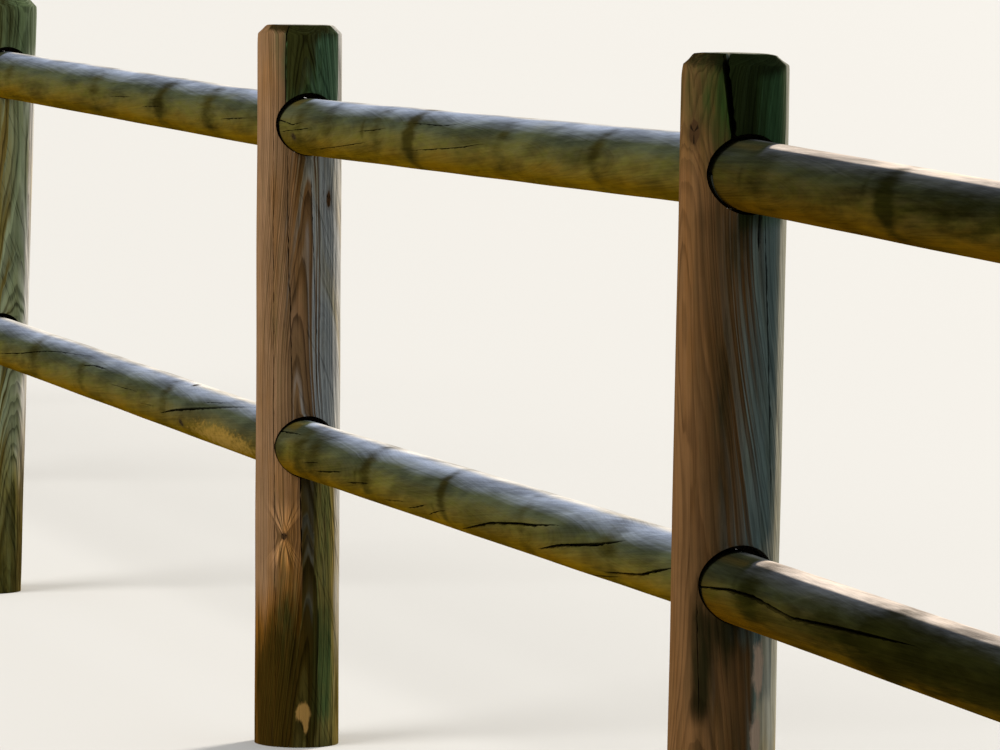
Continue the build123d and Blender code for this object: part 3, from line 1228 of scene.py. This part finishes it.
split = wires.maths("MULTIPLY", wires.between(spokes, 0.75, 1.0), wires.between(distance, 1.0, 0.7))
rays = wires.noise_of(angle, 6.5, 1.0)
upright = wires.maths("DIVIDE", wires.maths("ABSOLUTE", knot_y), wires.maths("ADD", reach, 0.01))
fan = wires.maths("MULTIPLY", wires.between(reach, 12.0, 4.0), wires.between(upright, 0.66, 0.97))
fan = wires.maths("MULTIPLY", fan, wires.maths("SUBTRACT", wires.between(rays, 0.38, 0.56), 0.22))
fan = wires.maths("MULTIPLY", fan, wires.maths("FRACT", number))
wires.put_out(Heart=heart, Halo=halo, Split=split, Fan=fan)

# %% [markdown]
# ### Patchy edges
#
# The mesh says how much of each kind of weather a place has had, but in smooth amounts.
# Real algae and stains give way in shreds along the grain. This group adds noise to an
# amount and then pushes the result towards all or nothing, which turns a soft slope into a
# frayed edge. `Across` and `Along` set the size of the shreds.

# %% Build the patchy edge
wires = start_group(
    "patchy edge",
    {"Amount": 0.0, "Grain": (0.0, 0.0, 0.0), "Across": 60.0, "Along": 8.0, "Fray": 1.4, "Softness": 0.35},
    {"Mask": 1},
)
amount, fray, softness = (wires.inputs[name] for name in ("Amount", "Fray", "Softness"))
across, along = wires.inputs["Across"], wires.inputs["Along"]
scale = wires.place("CombineXYZ", {0: across, 1: across, 2: along})
shreds = wires.noise(wires.inputs["Grain"], scale.outputs[0], 4.0, 0.6)
level = wires.add_share(shreds, fray, amount)
low = wires.maths("SUBTRACT", 0.5, softness)
high = wires.maths("ADD", 0.5, softness)
wires.put_out(Mask=wires.between(level, low, high))

# %% [markdown]
# ### All layers together
#
# The layers lie over each other as they did in time. First comes the colour for how much
# sun a side has had, with the painted highlights and shadows in the same amount: warm,
# brown, grey, then silver. The rings shift it a little either way, because soft and hard
# wood weather at different speeds. Damp, algae and stains follow as tints, and on some
# timbers the stain tint is painted shade as well. One multiplication then draws rings,
# fibres, blotches and strokes through all of them at once, as a thin film on wood still
# shows the grain. Bare spots, knots and checks come last, the checks' floors in painted
# shade. The numbers of the group are filled in by each material, so they start alike.

# %% Build the weathered timber
tints = ["Warm Wood", "Brown Wood", "Grey Wood", "Silver", "Damp Tint"]
tints += ["Algae", "Stain", "Bare Wood", "Knot Wood", "Crack"]
strengths = ["Rings", "Ring Tint", "Shreds", "Streaks", "Strokes", "Blotches", "Mottling", "Hairlines"]
sockets = {tint: (0.1, 0.1, 0.1, 1.0) for tint in tints} | {name: 0.3 for name in strengths}
wires = start_group("weathered timber", sockets, {"Color": 4, "Roughness": 1, "Height": 1})
paint = wires.inputs
grain, knot_place = wires.attribute("grain"), wires.attribute("knot")
bleach_and_light, algae_amount, stain_and_shade_amount = wires.split(wires.attribute("weather"))
damp_amount, bare_amount, check = wires.split(wires.attribute("wear"))

rings = wires.group("growth rings", Pith=wires.attribute("pith"), Grain=grain, Knot=knot_place)
fibres = wires.group("wood fibres", Grain=grain)
knot = wires.group("knot", Grain=grain, Knot=knot_place)


def patchy(amount, across, along, fray, softness):
    """A frayed mask from a smooth amount."""
    shape = {"Across": across, "Along": along, "Fray": fray, "Softness": softness}
    return wires.group("patchy edge", Amount=amount, Grain=grain, **shape)["Mask"]


damp = patchy(damp_amount, 35.0, 5.0, 1.4, 0.5)
algae = patchy(algae_amount, 90.0, 20.0, 0.9, 0.5)
stain = patchy(stain_and_shade_amount, 80.0, 12.0, 1.4, 0.45)
bare = patchy(bare_amount, 160.0, 60.0, 0.9, 0.20)

shreds = wires.noise(grain, (90.0, 90.0, 4.0), 4.0, 0.6)
calm = wires.maths("MULTIPLY_ADD", wires.between(bleach_and_light, 0.74, 0.60), 0.75, 0.25)
tint = wires.maths("MULTIPLY", paint["Ring Tint"], calm)
bleach_and_light = wires.add_share(shreds, wires.maths("MULTIPLY", paint["Shreds"], calm), bleach_and_light)
bleach_and_light = wires.add_share(rings["Years"], tint, bleach_and_light)
colour = wires.mix(wires.between(bleach_and_light, 0.0, 0.5), paint["Warm Wood"], paint["Brown Wood"])
colour = wires.mix(wires.between(bleach_and_light, 0.5, 0.78), colour, paint["Grey Wood"])
colour = wires.mix(wires.between(bleach_and_light, 0.78, 1.0), colour, paint["Silver"])
colour = wires.mix(damp, colour, wires.mix(1.0, colour, paint["Damp Tint"], "MULTIPLY"))
colour = wires.mix(wires.maths("MULTIPLY", algae, 0.85), colour, paint["Algae"])
colour = wires.mix(wires.maths("MULTIPLY", stain, 0.88), colour, paint["Stain"])

mottle = wires.noise(grain, (24.0, 24.0, 18.0), 3.0, 0.6)
figure = wires.add_share(mottle, paint["Mottling"], 1.0)
figure = wires.add_share(fibres["Streak"], paint["Streaks"], figure)
figure = wires.add_share(fibres["Fibre"], 0.18, figure)
blotches = wires.between(wires.noise(grain, (26.0, 26.0, 5.0), 3.0, 0.6), 0.34, 0.66)
figure = wires.add_share(blotches, paint["Blotches"], figure)
stroke = wires.between(wires.noise(wires.attribute("stroke"), (210.0, 210.0, 9.0), 2.0), 0.56, 0.74)
stroke = wires.maths("MULTIPLY", stroke, wires.between(bleach_and_light, 0.35, 0.65))
figure = wires.maths("MULTIPLY_ADD", stroke, paint["Strokes"], figure)
figure = wires.add_share(rings["Years"], paint["Rings"], figure)
figure = wires.maths("SUBTRACT", figure, wires.maths("MULTIPLY", rings["Latewood"], paint["Rings"]))
figure = wires.maths("MULTIPLY_ADD", knot["Fan"], 1.5, figure)
figure = wires.maths("MAXIMUM", figure, 0.25)
colour = wires.mix(1.0, colour, figure, "MULTIPLY")

colour = wires.mix(bare, colour, paint["Bare Wood"])
colour = wires.mix(wires.maths("MULTIPLY", knot["Halo"], 0.40), colour, paint["Knot Wood"])
colour = wires.mix(knot["Heart"], colour, paint["Knot Wood"])
# The checks' floors are darkened by depth as painted shade; hairlines and knot splits are dark lines in
# the same colour.
dark = wires.maths("MAXIMUM", check, wires.maths("MULTIPLY", fibres["Hairline"], paint["Hairlines"]))
dark = wires.maths("MAXIMUM", dark, knot["Split"])
colour = wires.mix(dark, colour, paint["Crack"])

roughness = wires.maths("MULTIPLY_ADD", fibres["Fibre"], 0.12, 0.74)
roughness = wires.maths("MULTIPLY_ADD", algae, 0.10, roughness)
height = wires.maths("MULTIPLY", rings["Latewood"], 0.22)
reliefs = [(fibres["Fibre"], 0.20), (fibres["Streak"], 0.22), (mottle, 0.25), (algae, 0.15), (dark, -0.90)]
for layer, share in reliefs:
    height = wires.maths("MULTIPLY_ADD", layer, share, height)
wires.put_out(Color=colour, Roughness=roughness, Height=height)

# %% [markdown]
# ### The woods
#
# A post is warm beige where it is sheltered and grey where it faces the sky. A rail is more
# olive, because its sides stay damp. No two bays took the same weather, so there are pale
# and dark timbers of each kind, and the third post kept a green tinge. On the fifth post
# and the fifth bay's rails the dark woods are partly painted shade. Inside the bores and on
# the sawn tongues the wood kept its first colour and only darkened. The shader itself is
# the same plain matt one each time: weathered wood has no gloss. One function mixes every
# wood, from its colours and from how deep its relief is.

# %% Choose the colours
# A post's warm wood and silver stand partly for painted light: the lit near side and the sunlit far edge.
pale_post = {
    "Warm Wood": (0.295, 0.170, 0.086), "Brown Wood": (0.104, 0.061, 0.028),
    "Grey Wood": (0.182, 0.202, 0.205), "Silver": (0.520, 0.500, 0.460),
    "Damp Tint": (0.900, 0.640, 0.180), "Algae": (0.025, 0.078, 0.027),
    "Stain": (0.018, 0.014, 0.002), "Bare Wood": (0.240, 0.140, 0.040),
    "Knot Wood": (0.045, 0.024, 0.010), "Crack": (0.012, 0.008, 0.004),
    "Rings": 0.44, "Ring Tint": 0.34, "Shreds": 0.16, "Streaks": 0.20, "Strokes": -0.40,
    "Blotches": 0.10, "Mottling": 0.40, "Hairlines": 0.40,
}
# A darker post wood; on the fifth post it is partly painted shade.
dark_post = pale_post | {
    "Warm Wood": (0.170, 0.086, 0.033), "Brown Wood": (0.044, 0.025, 0.010),
    "Grey Wood": (0.064, 0.092, 0.090), "Silver": (0.300, 0.295, 0.240),
    "Algae": (0.011, 0.036, 0.007), "Stain": (0.005, 0.006, 0.002),
    "Bare Wood": (0.230, 0.175, 0.130), "Rings": 0.26, "Ring Tint": 0.14,
    "Streaks": 0.14, "Strokes": -0.10, "Hairlines": 0.10,
}
green_post = pale_post | {
    "Warm Wood": (0.260, 0.170, 0.055), "Brown Wood": (0.140, 0.112, 0.030),
    "Grey Wood": (0.200, 0.230, 0.135), "Algae": (0.085, 0.125, 0.055),
}
# A rail's silver stands partly for a painted highlight along its sunlit top.
pale_rail = {
    "Warm Wood": (0.132, 0.083, 0.003), "Brown Wood": (0.052, 0.060, 0.034),
    "Grey Wood": (0.270, 0.310, 0.400), "Silver": (0.600, 0.570, 0.530),
    "Damp Tint": (0.950, 0.760, 0.350), "Algae": (0.064, 0.066, 0.007),
    "Stain": (0.026, 0.021, 0.003), "Bare Wood": (0.250, 0.152, 0.030),
    "Knot Wood": (0.034, 0.024, 0.010), "Crack": (0.011, 0.008, 0.003),
    "Rings": 0.06, "Ring Tint": 0.02, "Shreds": 0.08, "Streaks": 0.12, "Strokes": 0.22,
    "Blotches": 0.62, "Mottling": 0.20, "Hairlines": 0.0,
}
# A darker rail wood; on the fifth bay's rails it is partly painted shade, and its paler, pinker silver is
# a painted sunlit strip along their tops.
dark_rail = pale_rail | {
    "Warm Wood": (0.092, 0.052, 0.002), "Brown Wood": (0.024, 0.027, 0.014),
    "Grey Wood": (0.068, 0.074, 0.086), "Silver": (0.660, 0.560, 0.480),
    "Algae": (0.034, 0.036, 0.003), "Stain": (0.008, 0.008, 0.001),
}
cut_face = {
    "Warm Wood": (0.080, 0.055, 0.024), "Brown Wood": (0.060, 0.045, 0.020),
    "Grey Wood": (0.070, 0.060, 0.040), "Silver": (0.100, 0.085, 0.060),
    "Damp Tint": (0.800, 0.700, 0.450), "Algae": (0.040, 0.044, 0.014),
    "Stain": (0.015, 0.012, 0.005), "Bare Wood": (0.120, 0.080, 0.035),
    "Knot Wood": (0.030, 0.018, 0.008), "Crack": (0.012, 0.008, 0.004),
    "Rings": 0.30, "Ring Tint": 0.10, "Shreds": 0.10, "Streaks": 0.25, "Strokes": 0.0,
    "Blotches": 0.10, "Mottling": 0.40, "Hairlines": 0.2,
}


# %% Mix the woods
def timber_material(name, palette, relief):
    """A material that places the weathered timber with its own colours and strengths."""
    material = bpy.data.materials.new(name)
    material.use_nodes = True
    wires = Wiring(material.node_tree)
    shader = material.node_tree.nodes["Principled BSDF"]
    opaque = {label: (*value, 1.0) for label, value in palette.items() if isinstance(value, tuple)}
    tree = bpy.data.node_groups["weathered timber"]
    timber = wires.place("Group", palette | opaque, node_tree=tree)
    bump = wires.place("Bump", {"Strength": 1.0, "Distance": relief, "Height": timber.outputs["Height"]})
    wires.tree.links.new(timber.outputs["Color"], shader.inputs["Base Color"])
    wires.tree.links.new(timber.outputs["Roughness"], shader.inputs["Roughness"])
    wires.tree.links.new(bump.outputs["Normal"], shader.inputs["Normal"])
    shader.inputs["Specular IOR Level"].default_value = 0.0
    return material


woods = {
    "pale_post": timber_material("pale_post_wood", pale_post, 0.0010),
    "dark_post": timber_material("dark_post_wood", dark_post, 0.0010),
    "green_post": timber_material("green_post_wood", green_post, 0.0010),
    "pale_rail": timber_material("pale_rail_wood", pale_rail, 0.0006),
    "dark_rail": timber_material("dark_rail_wood", dark_rail, 0.0006),
}
cut_wood = timber_material("bored_and_sawn_wood", cut_face, 0.0009)
# The fifth post and the fifth bay's rails take the dark woods partly as painted shade; the others are
# darker in tone.
dark_and_shaded_timbers = ["post_2", "post_5", "post_7", "top_rail_5", "lower_rail_5", "top_rail_1", "lower_rail_2"]


def wood_of(timber):
    """The wood that a timber is made of."""
    if timber.name == "post_3":
        return woods["green_post"]
    shade = "dark" if timber.name in dark_and_shaded_timbers else "pale"
    return woods[f"{shade}_{kind(timber)}"]


print("woods:", [wood.name for wood in woods.values()], cut_wood.name)

# %% [markdown]
# ## Making the timbers
#
# Each timber is now turned, cut, marked by the weather and put in the place of its plain
# one in the frame. Posts and rails differ only in their profile and in how they are cut.

# %% Make a timber
sharp_edge = radians(38)  # faces that meet at more than this are shaded as an edge


def make_timber(timber, number, profile, add_cutter, cuts):
    """Builds one dressed timber in the place of its plain one."""
    mesh = timber_mesh(timber, profile, every_check[timber.name])
    mesh.materials.append(wood_of(timber))
    mesh.materials.append(cut_wood)
    piece = bpy.data.objects.new(timber.name + "_timber", mesh)
    bpy.context.scene.collection.objects.link(piece)
    cut_away(piece, timber, add_cutter, cuts)
    mesh = piece.data
    soften_cut(mesh)
    along, around = mark_weather_and_light(mesh, timber, number)
    knot_count = mark_knots(mesh, timber, along, around)
    mesh.shade_smooth()
    mesh.set_sharp_from_angle(angle=sharp_edge)
    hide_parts(timber.name)
    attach(piece, "root")
    triangles = sum(polygon.loop_total - 2 for polygon in mesh.polygons)
    check_total = len(every_check[timber.name])
    print(piece.name, triangles, "triangles,", check_total, "checks,", knot_count, "knots")
    return triangles


# %% Make the posts
triangle_total = 0
for number, name in enumerate(post_names):
    timber = timbers[name]
    triangle_total += make_timber(timber, number, post_profile(timber), auger, timber.bores)

# %% Make the rails
for number, name in enumerate(rail_names):
    timber = timbers[name]
    cuts = tongues(timber)
    sawn_left = any(at_left for at_left, _, _ in cuts)
    sawn_right = any(not at_left for at_left, _, _ in cuts)
    profile = rail_profile(timber, not sawn_left, not sawn_right)
    triangle_total += make_timber(timber, len(post_names) + number, profile, saw_cut, cuts)
print(triangle_total, "triangles in all")

# %% [markdown]
# ## Painted shade in the bores
#
# A rail is thinner than its bore, and the gap above it lies in deep shade, so almost no
# daylight shows through. Left open, it would show a bright sickle over each rail. So a
# near-black lump stands in for that shade: it fills the room between the two rails' backs
# and the roof of the bore, in the middle third of the post, with ragged faces to both sides.

# %% Mix the painted shade for the gaps
gap_shade = bpy.data.materials.new("packed_dirt")
gap_shade.use_nodes = True
wires = Wiring(gap_shade.node_tree)
spot = wires.place("TexCoord", {}).outputs["Object"]
gap_shade_noise = wires.noise(spot, (320.0, 320.0, 320.0), 4.0, 0.7)
# Near-black painted shade, mottled a little, for the gap over each rail.
deep_gap_shade, light_gap_shade = (0.006, 0.004, 0.002, 1), (0.040, 0.026, 0.012, 1)
gap_shade_colour = wires.mix(wires.between(gap_shade_noise, 0.35, 0.70), deep_gap_shade, light_gap_shade)
bump = wires.place("Bump", {"Strength": 1.0, "Distance": 0.0012, "Height": gap_shade_noise})
gap_shade_shader = gap_shade.node_tree.nodes["Principled BSDF"]
gap_shade_shader.inputs["Roughness"].default_value = 0.95
gap_shade_shader.inputs["Specular IOR Level"].default_value = 0.05
wires.tree.links.new(gap_shade_colour, gap_shade_shader.inputs["Base Color"])
wires.tree.links.new(bump.outputs["Normal"], gap_shade_shader.inputs["Normal"])

# %% [markdown]
# ### The shape of a lump
#
# Four slices across the bore are enough for a lump. Each follows the rails' backs on its
# underside and the bore's roof on top. The two outer slices stand at ragged distances from
# the middle and have sunk a little, so that both faces are uneven. The backs are worked
# out from the rails' centre lines, because the gap differs from bore to bore.

# %% Shape a lump of painted shade
def back_of(timber, centre, angle):
    """How far a rail's back lies from a bore's centre, in one direction across the bore."""
    axis_point = timber.start + timber.grain * ((centre - timber.start) @ timber.grain)
    off = (axis_point - centre)[1:]
    towards = np.array((sin(angle), cos(angle)))
    along = off @ towards
    return along + (timber.radius**2 - off @ off + along**2) ** 0.5


def lump_points(angles, backs, roof, ends):
    """Points under and over the lump in four slices, seen from the bore's centre."""
    slope = 0.003  # from an outer slice to the inner one beside it
    sunk = 0.0006  # how far an outer slice's top lies below the roof
    slices = [(-ends, roof - sunk), (slope - ends, roof), (ends - slope, roof), (ends, roof - sunk)]
    points = []
    for shifts, high in slices:
        for shift, angle, low in zip(shifts, angles, backs):
            for distance in (low, high):
                points.append((shift, distance * sin(angle), distance * cos(angle)))
    return np.array(points)


def lump_faces(count):
    """The backs, the roof, the two thin sides and the two crumbled faces."""
    low, high = np.moveaxis(np.arange(8 * count).reshape(4, count, 2), -1, 0)
    faces = quads(low[:-1, :-1], low[:-1, 1:], low[1:, 1:], low[1:, :-1])
    faces += quads(high[:-1, :-1], high[1:, :-1], high[1:, 1:], high[:-1, 1:])
    faces += quads(low[:-1, 0], low[1:, 0], high[1:, 0], high[:-1, 0])
    faces += quads(high[:-1, -1], high[1:, -1], low[1:, -1], low[:-1, -1])
    faces += quads(low[0, :-1], high[0, :-1], high[0, 1:], low[0, 1:])
    faces += quads(low[3, 1:], high[3, 1:], high[3, :-1], low[3, :-1])
    return faces


# %% [markdown]
# ### Filling the bores
#
# Each bore gets a lump of its own in the middle of its post. A lump overlaps the wood by a
# hair on all sides, so that no light shows between them.

# %% Pack the bores
overlap = 0.0008  # into the rails' backs
roof_overlap = 0.0002  # into the bore's roof


def fill_gap_with_shade(post, level, bore, rails):
    """Fills the gap over the rails in one bore, in the middle of the post."""
    centre, radius = bore
    draw = np.random.default_rng([len(post.name), round(1e4 * abs(centre[0] + centre[2]))])
    angles = np.radians(np.arange(-105, 106, 3.0))
    roof = radius + roof_overlap
    backs = [[back_of(rail, centre, angle) for angle in angles] for rail in rails]
    backs = np.minimum(np.max(backs, axis=0) - overlap, roof)
    ends = 0.30 * post.radius + 0.004 * waves(draw, angles, 0 * angles, 9, 1.0, 12)
    faces = lump_faces(len(angles))
    mesh = bpy.data.meshes.new(f"{post.name}_{level}_dirt")
    mesh.from_pydata(centre + lump_points(angles, backs, roof, ends), [], faces)
    mesh.materials.append(gap_shade)
    piece = bpy.data.objects.new(mesh.name, mesh)
    bpy.context.scene.collection.objects.link(piece)
    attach(piece, "root")
    return len(faces)


gap_shade_faces = 0
for number, name in enumerate(post_names):
    for level, bore in zip(("lower", "top"), timbers[name].bores):
        beside = (f"{level}_rail_{number}", f"{level}_rail_{number + 1}")
        rails = [timbers[rail] for rail in beside if rail in timbers]
        gap_shade_faces += fill_gap_with_shade(timbers[name], level, bore, rails)
print("dirt:", gap_shade_faces, "faces")
